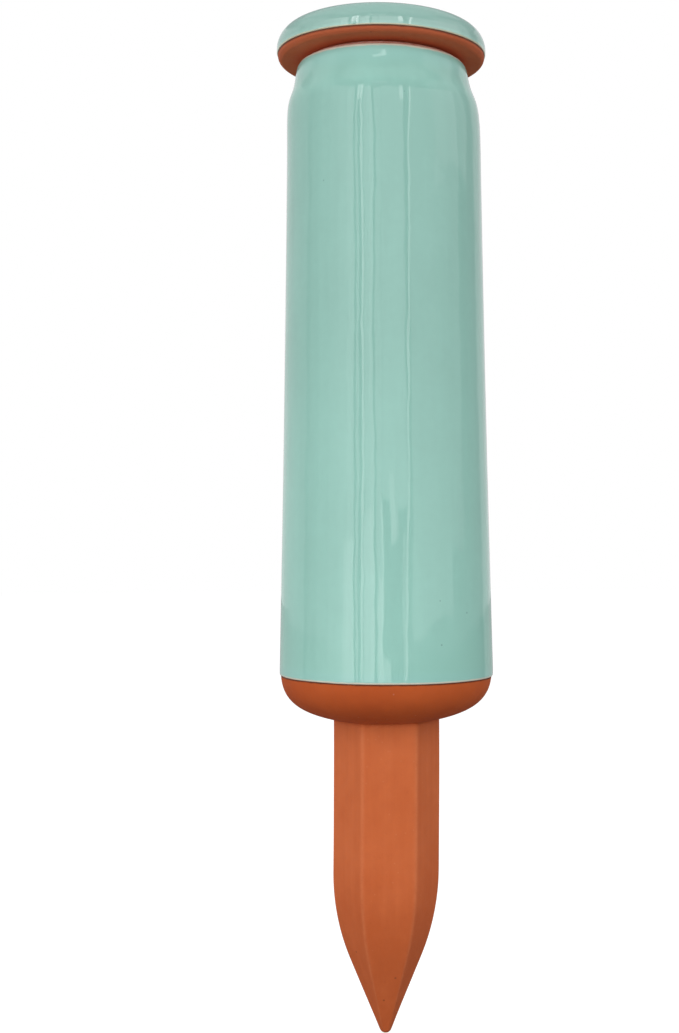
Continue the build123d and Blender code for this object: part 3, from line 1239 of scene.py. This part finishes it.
@dataclass
class Stake:
    """The hollow hexagonal stake and the slip that lutes it into the reservoir's floor."""

    flat: float = 12.85
    corner: float = 14.598
    wall: float = 3.6
    point: Taper = Taper(42.3, 66.0, 0.676, 1.75)
    hollow: Taper = Taper(42.3, 62.0, 0.70, 2.0)
    hollow_top: float = 4.0
    flat_round_share: float = 0.5
    spigot_radius: float = 8.5
    spigot_height: float = 3.6
    bore_radius: float = 5.5
    neck_rounds: tuple[float, ...] = (0.1, 0.5, 0.4, 0.4)
    top_ring: float = 11.5
    hollow_ring: float = 7.0
    slip: float = 0.3
    slip_top: float = 3.1
    slip_ring: float = 10.5
    slip_inset: float = 0.05
    bead: float = 0.1
    bead_proud: float = 0.02
    bead_uneven: float = 0.05
    bead_even: float = 0.3
    bead_ripple: Ripple = Ripple(33, 14, 20.0)
    hole_radius: float = Reservoir.hole_radius
    unevenness: float = 0.07
    true_tip: float = 6.0
    ripple: Ripple = Ripple(21, 6, 26.0)
    highlight_width: float = 2.2
    highlight_below: tuple[float, float] = (0.2, 3.0)
    tip_lean: float = -0.7
    per_side: int = 26
    longest_face: float = 1.5
    longest_slip_face: float = 1.2

    def angles(self) -> Array:
        """Angles of the columns: each of the six sides is denser towards its two corners.

        Formula: the angle from a flat's middle is 30 degrees times the sine of a quarter turn
        times a share from -1 to 1, the front flat being at -90 degrees.

        Returns:
            The angles in radians, turning left.
        """
        share = np.linspace(-1, 1, self.per_side, endpoint=False)
        side = SIXTH / 2 * np.sin(share * math.pi / 2)
        return (FRONT + SIXTH * np.arange(6)[:, None] + side).ravel()

    def from_flat(self) -> Array:
        """Angle of each column from the middle of its flat."""
        return np.abs((self.angles() - FRONT + SIXTH / 2) % SIXTH - SIXTH / 2)

    def hexagon(self, flat: Array, corner: Array) -> Array:
        """Radius of a hexagon with rounded corners at each column, for each row.

        Formula: the corner's round is as large as the corner's half width asks for. On the flat
        the radius is the flat's half width over the cosine of the angle from its middle, and on
        the corner it is where the ray leaves the round.

        Args:
            flat, corner: Half widths across flats and across corners, one for each row.

        Returns:
            Radii, rows by columns.
        """
        flat, corner = np.minimum(flat, corner)[:, None], corner[:, None]
        slant = 1 / math.cos(SIXTH / 2)
        size = np.clip((flat * slant - corner) / (slant - 1), 0, flat)
        aside = (flat - size) * math.tan(SIXTH / 2)
        turn = self.from_flat()
        middle = (flat - size) * np.cos(turn) + aside * np.sin(turn)
        inside = middle**2 - (flat - size) ** 2 - aside**2 + size**2
        rounded = middle + np.sqrt(np.clip(inside, 0, None))
        return np.where(np.tan(turn) * flat <= aside, flat / np.cos(turn), rounded)

    def drawn_in(self, taper: Taper, inset: float, top: float,
                 rows: int) -> tuple[Array, Array, float]:
        """Rows of a drawn-in point from its tip up to its top.

        Formula: rows lie evenly up the straight part, and near the tip they follow the angle
        round its ball, so that it stays round.

        Args:
            taper: Its shape.
            inset: How far the surface lies inside the stake's own.
            top: Height of the last row.
            rows: Rows above the ball.

        Returns:
            Heights, radii as rows by columns, and the height of the tip.
        """
        corner, size = self.corner - inset, taper.tip_round
        angle, middle = taper.tip(corner, size)
        ball = middle - size * np.cos(np.linspace(0, math.pi / 2 - angle, 10))[1:]
        height = np.append(ball, np.linspace(ball[-1], top, rows)[1:])
        across = taper.half_width(height, corner, size)
        level = taper.half_width(height, self.flat - inset, size * self.flat_round_share)
        return height, self.hexagon(level, across), middle - size

    def clay_skin(self) -> Skin:
        """The stake: up its outside from the tip, over its neck, down the bore and its hollow.

        Formula: rings of rounded hexagons and circles on the same columns, pushed in by a slow
        ripple on the outside. Its one mark is 1 on the corners and fades within some degrees, a
        painted highlight along them.

        Returns:
            A closed skin with two poles.
        """
        height, outer, tip = self.drawn_in(self.point, 0.0, -self.slip, rows=74)
        angle = self.angles()
        uneven = self.ripple.hollows(angle, height[:, None], self.unevenness)
        outer = outer + uneven * smooth(height, tip, tip + self.true_tip)[:, None]
        spigot, bore, top = self.spigot_radius, self.bore_radius, self.spigot_height
        neck = filled(rounded_path(
            [(self.top_ring, -self.slip), (spigot, -self.slip), (spigot, top), (bore, top),
             (bore, -self.hollow_top), (self.hollow_ring, -self.hollow_top)],
            self.neck_rounds), self.longest_face)
        inner_height, inner, inner_tip = self.drawn_in(self.hollow, self.wall,
                                                       -self.hollow_top - HAIR, rows=44)
        neck_radius = np.broadcast_to(neck[:, :1], (len(neck), len(angle)))
        radius = np.vstack([outer, neck_radius, inner[::-1]])
        level = np.concatenate([height, neck[:, 1], inner_height[::-1]])[:, None]
        lean = self.tip_lean * smooth(-level, 0.0, -tip)
        # painted highlight along the corners, fading out just below the top of the stake's outside
        off = (self.from_flat() - SIXTH / 2) / math.radians(self.highlight_width)
        outside = (np.arange(len(level)) < len(height))[:, None]
        rubbed_and_highlit = np.exp(-off**2) * outside * smooth(height.max() - level, *self.highlight_below)
        return Skin(turned(radius, level, angle, lean),
                    ((self.tip_lean, 0.0, tip), (self.tip_lean, 0.0, inner_tip)),
                    {"rubbed_and_highlit": rubbed_and_highlit})

    def slip_skin(self) -> Skin:
        """The slip: a hollow bead outside, a film on the stake's top and one round its spigot.

        Formula: the bead's outline is a quarter circle seen from outside, from the stake's side
        to the seat, carried round a hexagon that grows by its offset.

        Returns:
            A closed skin with no poles.
        """
        turn, angle = np.linspace(0, math.pi / 2, 9), self.angles()
        grow = self.bead * (1 - np.cos(turn)) + self.bead_proud
        rise = (self.slip + self.bead) * (np.sin(turn) - 1)
        uneven = self.bead_uneven * smooth(grow, 0, self.bead_even)[:, None]
        bead = self.hexagon(self.flat + grow, self.corner + grow)
        bead = bead + uneven * self.bead_ripple.at(angle, rise[:, None])
        spigot, hole, top = self.spigot_radius, self.hole_radius, self.slip_top
        film = filled(np.array([(self.slip_ring, 0.0), (hole, 0.0), (hole, top), (spigot, top),
                                (spigot, -self.slip), (self.slip_ring, -self.slip)]),
                      self.longest_slip_face)
        shoulder = self.hexagon(*(np.array([size - self.slip_inset])
                                  for size in (self.flat, self.corner)))
        film_radius = np.broadcast_to(film[:, :1], (len(film), len(angle)))
        level = np.concatenate([rise, film[:, 1], [-self.slip]])[:, None]
        return Skin(turned(np.vstack([bead, film_radius, shoulder]), level, angle))

    def build(self, effects: EffectGroups) -> None:
        """Make both pieces, dress them and seat them on the vessel."""
        seat_piece(self.clay_skin().piece("stake_clay"), STAKE_CLAY.material(effects),
                   Body.VESSEL, "stake")
        seat_piece(self.slip_skin().piece("slip_bead"), SLIP_CLAY.material(effects),
                   Body.VESSEL, "joining_slip")


@dataclass
class Lid:
    """The clay cap with its ring and recess, and the glaze over its top and side."""

    radius: float = 28.4
    underside: float = 180.15
    foot_round: float = 1.5
    side_height: float = 3.15
    edge_round: float = 5.4
    dome_slope: float = 3.0
    glaze: float = 0.3
    glaze_roll: float = 0.4
    glaze_height: float = 1.95
    ring_radius: float = 17.5
    ring_wall: float = 3.5
    ring_depth: float = 8.0
    recess: float = 2.4
    recess_ring: float = 0.6
    ring_rounds: tuple[float, ...] = (0.8, 1.0, 1.0, 0.5)
    ring_margin: float = 1.0
    foot: EdgeLine = EdgeLine(Ripple(15, 8), 0.06, 0.42)
    unevenness: float = 0.06
    ripple: Ripple = Ripple(43, 4, 30.0)
    aside: float = -0.6
    longest_face: float = 1.6
    columns: int = 288

    def outside(self) -> Array:
        """The outline from the flat underside round the foot, up the side and over the dome.

        Formula: tangent arcs for the foot, the edge and the dome, with a straight side.

        Returns:
            The points, one row each, ending on the axis.
        """
        slope, inwards = math.radians(self.dome_slope), leaning(90 - self.dome_slope)
        foot = np.array([self.radius - self.foot_round, self.underside])
        foot_top = np.array([self.radius, self.underside + self.foot_round])
        side_top = np.array([self.radius, self.underside + self.side_height])
        edge_end = side_top + self.edge_round * np.array([math.sin(slope) - 1, math.cos(slope)])
        top = np.array([0.0, edge_end[1] + edge_end[0] * math.tan(slope / 2)])
        return join(tangent_arc(foot, foot_top, (1, 0), count=10),
                    tangent_arc(side_top, edge_end, (0, 1), count=20),
                    tangent_arc(edge_end, top, inwards, count=26))

    def hollows(self, angle: Array, radius: Array, height: Array) -> Array:
        """How far the lid's face is pushed in by hand."""
        return self.ripple.hollows(angle, radius + height, self.unevenness)

    def foot_line(self, angle: Array) -> Array:
        """Height of the glaze's lower edge on the side."""
        return self.foot.at(angle, self.underside + self.glaze_height)

    def clay_skin(self) -> Skin:
        """The cap: from the recess over the ring and the underside, up the side and the dome.

        Formula: the outline is carried round the axis and pushed in by the hollows. The mark
        from_glaze is the height below the glaze's edge, and far off on the ring and inside it.

        Returns:
            A closed skin with two poles.
        """
        inner, outside = self.ring_radius - self.ring_wall, self.outside()
        ceiling, tip = self.underside + self.recess, self.underside - self.ring_depth
        ring = rounded_path(
            [(self.recess_ring, ceiling), (inner, ceiling), (inner, tip), (self.ring_radius, tip),
             (self.ring_radius, self.underside), (self.radius - self.foot_round, self.underside)],
            self.ring_rounds)
        line = filled(join(ring, outside)[:-1], self.longest_face)
        angle, level = round_the_axis(self.columns), line[:, 1:]
        push = self.hollows(angle, line[:, :1], level)
        radius, height = lifted(line, run_length(line)[:, None], push)
        outer = line[:, :1] > self.ring_radius + self.ring_margin
        gap = np.where(outer, self.foot_line(angle) - level, FAR)
        return Skin(turned(radius, height, angle, self.aside),
                    ((self.aside, 0.0, ceiling), (self.aside, 0.0, outside[-1, 1])),
                    {"from_glaze": gap})

    def glaze_skin(self) -> Skin:
        """The coat over the dome, the edge and most of the side, with a rolled lower edge.

        Formula: rows run from inside the dome's middle to the edge, round it, and back outside.
        The mark from_edge is the length from the lower edge.

        Returns:
            A closed skin with two poles.
        """
        line, angle = self.outside(), round_the_axis(self.columns)
        length, near = run_length(line), NEAR_EDGE[:9]
        side = slice(0, int(np.argmax(line[:, 1] > self.underside + self.side_height)) + 1)
        foot = np.interp(self.foot_line(angle), line[side, 1], length[side])
        outer = np.vstack([foot + near, between(foot + near[-1], length[-1], parts=73)])
        inner = between(length[-1], foot, parts=23)
        where, thick = np.vstack([inner, outer]), rolled(outer - foot, self.glaze, self.glaze_roll)
        lift = np.vstack([np.full_like(inner, -SUNK), thick])
        lift += self.hollows(angle, *lifted(line, where, 0.0))
        radius, height = lifted(line, where, lift)
        top = line[-1, 1] - self.unevenness / 2
        return Skin(turned(radius, height, angle, self.aside),
                    ((self.aside, 0.0, top - SUNK), (self.aside, 0.0, top + self.glaze)),
                    {"from_edge": where - foot})

    def build(self, effects: EffectGroups) -> None:
        """Make both pieces, dress them and seat them on the cover."""
        seat_piece(self.clay_skin().piece("lid_clay"), LID_CLAY.material(effects),
                   Body.COVER, "lid")
        seat_piece(self.glaze_skin().piece("lid_glaze_coat"), LID_GLAZE.material(effects),
                   Body.COVER, "lid_glaze")


# ---------------------------------------------------------------- the studio

@dataclass(frozen=True)
class SoftLight:
    """One upright soft light, given by the part of the room that it fills.

    Left and right are its sides, in degrees from the camera towards +X, seen from the object,
    bottom and top the heights of its ends in millimetres. A white wall in full light has a
    glow of 1, and lean is how far its top leans towards +X, in degrees.
    """

    name: str
    left: float
    right: float
    bottom: float
    top: float
    glow: float
    lean: float = 0.0


LIGHTS = tuple(SoftLight(*row) for row in (
    ("wall_left", -92, -78, -80, 520, 0.3),
    ("wall_left_near", -77.9, -64, -80, 520, 0.62),
    ("wall_left_nearest", -63.9, -53, -80, 520, 0.95),
    ("window_pane_1", -52.9, -43, -80, 520, 1.25),
    ("window_pane_2", -42.9, -34.5, -80, 505, 1.7),
    ("window_pane_2_low", -46, -34.5, -80, 70, 0.9),
    ("window_pane_3", -32, -29.2, -80, 520, 1.5),
    ("window_bar_left", -26, -23.4, -80, 540, 2.8),
    ("window_pane_4", -22.5, -17, -80, 500, 1.5),
    ("window_pane_5", -16.9, -12.5, -80, 515, 1.9),
    ("window_pane_5_low", -22.5, -12.5, -80, 88, 0.8),
    ("window_pane_6", -10, -3.5, -80, 480, 1.3),
    ("window_pane_6_low", -9, -4.2, -80, 52, 1.2),
    ("window_pane_7", -3, 4.5, 98, 520, 1.2),
    ("window_pane_7_right", 4.5, 13, 70, 520, 1.2),
    ("window_pane_8", 13.1, 22.5, 96, 500, 1.25),
    ("window_pane_7_foot", -3, 4.5, 98, 142, 0.9),
    ("window_pane_7_right_foot", 4.5, 10, 74, 112, 0.8),
    ("window_edge", -4.6, -3.2, -50, 94, 1.6),
    ("window_sill", -3, 5, -80, 2, 2.0),
    ("window_pane_9", 17.5, 20.5, -80, 77, 1.0),
    ("window_bar_right", 25.8, 28, -80, 540, 2.4, 14),
    ("window_glare_left", -31, -25, 375, 545, 2.6),
    ("window_glare_right", 18, 23, 380, 540, 2.2),
    ("wall_right", 28.9, 60, 14, 520, 0.9),
    ("wall_far_right", 60.1, 76, 20, 520, 0.75),
    ("wall_farther_right", 76.1, 94, 60, 520, 0.6),
    ("wall_top_right", 60.1, 112, 300, 760, 0.5),
    ("wall_top_left", -112, -66, 520, 760, 0.38),
    ("wall_behind_left", -172, -98.5, -80, 520, 0.4),
    ("wall_behind_right", 129, 166, -80, 520, 0.38),
    ("lamp", -13, 5, 598, 622, 3.0),
))


def spin(degrees: float, axis: str) -> Matrix:
    """A turn about one axis."""
    return Matrix.Rotation(math.radians(degrees), 4, axis)


@dataclass
class Studio:
    """Floor, lights and camera."""

    floor_height: float = -87.0
    floor_radius: float = 3200.0
    floor_rings: int = 27
    floor_columns: int = 96
    lens: float = 53.1
    sensor: float = 36.0
    away: float = 420.8
    eye_height: float = 50.85
    azimuth: float = -3.2
    yaw: float = -2.435
    roll: float = -0.271
    shift: tuple[float, float] = (-0.1076, 0.0155)
    clip: tuple[float, float] = (0.01, 50.0)
    ambience: float = 0.45
    room: Colour = (0.985, 0.99, 1.0)
    lights_away: float = 600.0
    ceiling_height: float = 1800.0
    ceiling_size: float = 2600.0
    ceiling_glow: float = 0.35

    def build(self, effects: EffectGroups) -> None:
        """Make the floor, the world, the lights and the camera.

        Args:
            effects: The shared node groups.
        """
        bpy.context.scene.view_settings.view_transform = "Standard"
        self._floor(effects)
        self._world()
        for light in LIGHTS:
            self._light(light)
        up, size = Vector((0, 0, 1)), self.ceiling_size * MM
        self._hang("ceiling", up * self.ceiling_height * MM, up, size, size, self.ceiling_glow)
        self._camera()

    def _floor(self, effects: EffectGroups) -> None:
        """Lay the floor: a flat disc in rings.

        Formula: each ring's radius is a square of its share, so it is finest in the middle.

        Args:
            effects: The shared node groups.
        """
        share = np.linspace(0, 1, self.floor_rings + 1)[1:, None]
        angle = round_the_axis(self.floor_columns)
        rings = turned(share**2 * self.floor_radius, self.floor_height, angle)
        index = np.arange(rings[..., 0].size).reshape(rings.shape[:2])
        beside = np.roll(index, -1, axis=1)
        quads = np.stack([index[:-1], index[1:], beside[1:], beside[:-1]], axis=-1)
        fan = np.stack([np.full(len(angle), index.size), index[0], beside[0]], axis=-1)
        points = np.vstack([rings.reshape(-1, 3), [0.0, 0.0, self.floor_height]])
        mesh = bpy.data.meshes.new("studio_floor")
        mesh.from_pydata(points * MM, [], quads.reshape(-1, 4).tolist() + fan.tolist())
        mesh.materials.append(STUDIO_FLOOR.material(effects))
        floor = linked("studio_floor", mesh)
        log.info("floor at %.1f mm", self.floor_height)

    def _world(self) -> None:
        """An even pale room: the camera sees it white, and the object is lit by its ambience."""
        world = bpy.data.worlds.new("studio_room")
        bpy.context.scene.world = world
        world.use_nodes = True
        world.node_tree.nodes.clear()
        bench = Bench(world.node_tree)
        camera = bench.node("LightPath").outputs["Is Camera Ray"]
        room = bench.node("Background", {"Color": self.room, "Strength": self.ambience})
        white = bench.node("Background", {"Color": (1.0, 1.0, 1.0), "Strength": 1.0})
        seen = bench.node("MixShader", {0: camera, 1: room.outputs[0], 2: white.outputs[0]})
        bench.node("OutputWorld", {"Surface": seen.outputs[0]})

    def _direction(self, turn: float) -> Vector:
        """Level direction from the object, turned from the camera's side towards +X."""
        around = math.radians(self.azimuth + turn)
        return Vector((math.sin(around), -math.cos(around), 0.0))

    def _light(self, light: SoftLight) -> None:
        """Stand one light upright so that it faces the axis.

        Formula: its width is twice its distance times the tangent of half its angle.

        Args:
            light: Which light.
        """
        back, tall = self._direction((light.left + light.right) / 2), light.top - light.bottom
        width = 2 * self.lights_away * math.tan(math.radians(light.right - light.left) / 2)
        middle = back * self.lights_away + Vector((0, 0, (light.bottom + light.top) / 2))
        made = self._hang(light.name, middle * MM, back, width * MM, tall * MM, light.glow)
        made.matrix_world = made.matrix_world @ spin(-light.lean, "Z")

    def _hang(self, name: str, middle: Vector, back: Vector, width: float, height: float,
              glow: float) -> bpy.types.Object:
        """Add a soft rectangle that shines against its back direction.

        Formula: its power is its glow times pi times its area.

        Args:
            name: The light's name.
            middle: Where its middle is, in metres.
            back: Unit direction from the object to it.
            width, height: Its size in metres.
            glow: Brightness of its face.

        Returns:
            The light.
        """
        data = bpy.data.lights.new(name, "AREA")
        data.shape = "RECTANGLE"
        data.size, data.size_y = width, height
        data.energy = glow * math.pi * width * height
        made = linked(name, data)
        facing = back.to_track_quat("Z", "Y").to_matrix().to_4x4()
        made.matrix_world = Matrix.Translation(middle) @ facing
        made.visible_camera = False
        return made

    def _camera(self) -> None:
        """Stand the camera level with the lower wall, turned a little, and shift the frame back."""
        data = bpy.data.cameras.new("studio_camera")
        data.lens, data.sensor_width = self.lens, self.sensor
        data.shift_x, data.shift_y = self.shift
        data.clip_start, data.clip_end = self.clip
        made = linked("studio_camera", data)
        place = self._direction(0.0) * self.away + Vector((0, 0, self.eye_height))
        made.matrix_world = (Matrix.Translation(place * MM) @ spin(self.azimuth + self.yaw, "Z")
                             @ spin(90, "X") @ spin(self.roll, "Z"))
        bpy.context.scene.camera = made


def main() -> None:
    """Build the pieces in the order in which the potter makes them, then the studio."""
    logging.basicConfig(level=logging.INFO, format="%(name)s: %(message)s")
    effects = EffectGroups()
    for part in (Stake(), Reservoir(), Lid(), Studio()):
        part.build(effects)


if __name__ == "__main__":
    main()
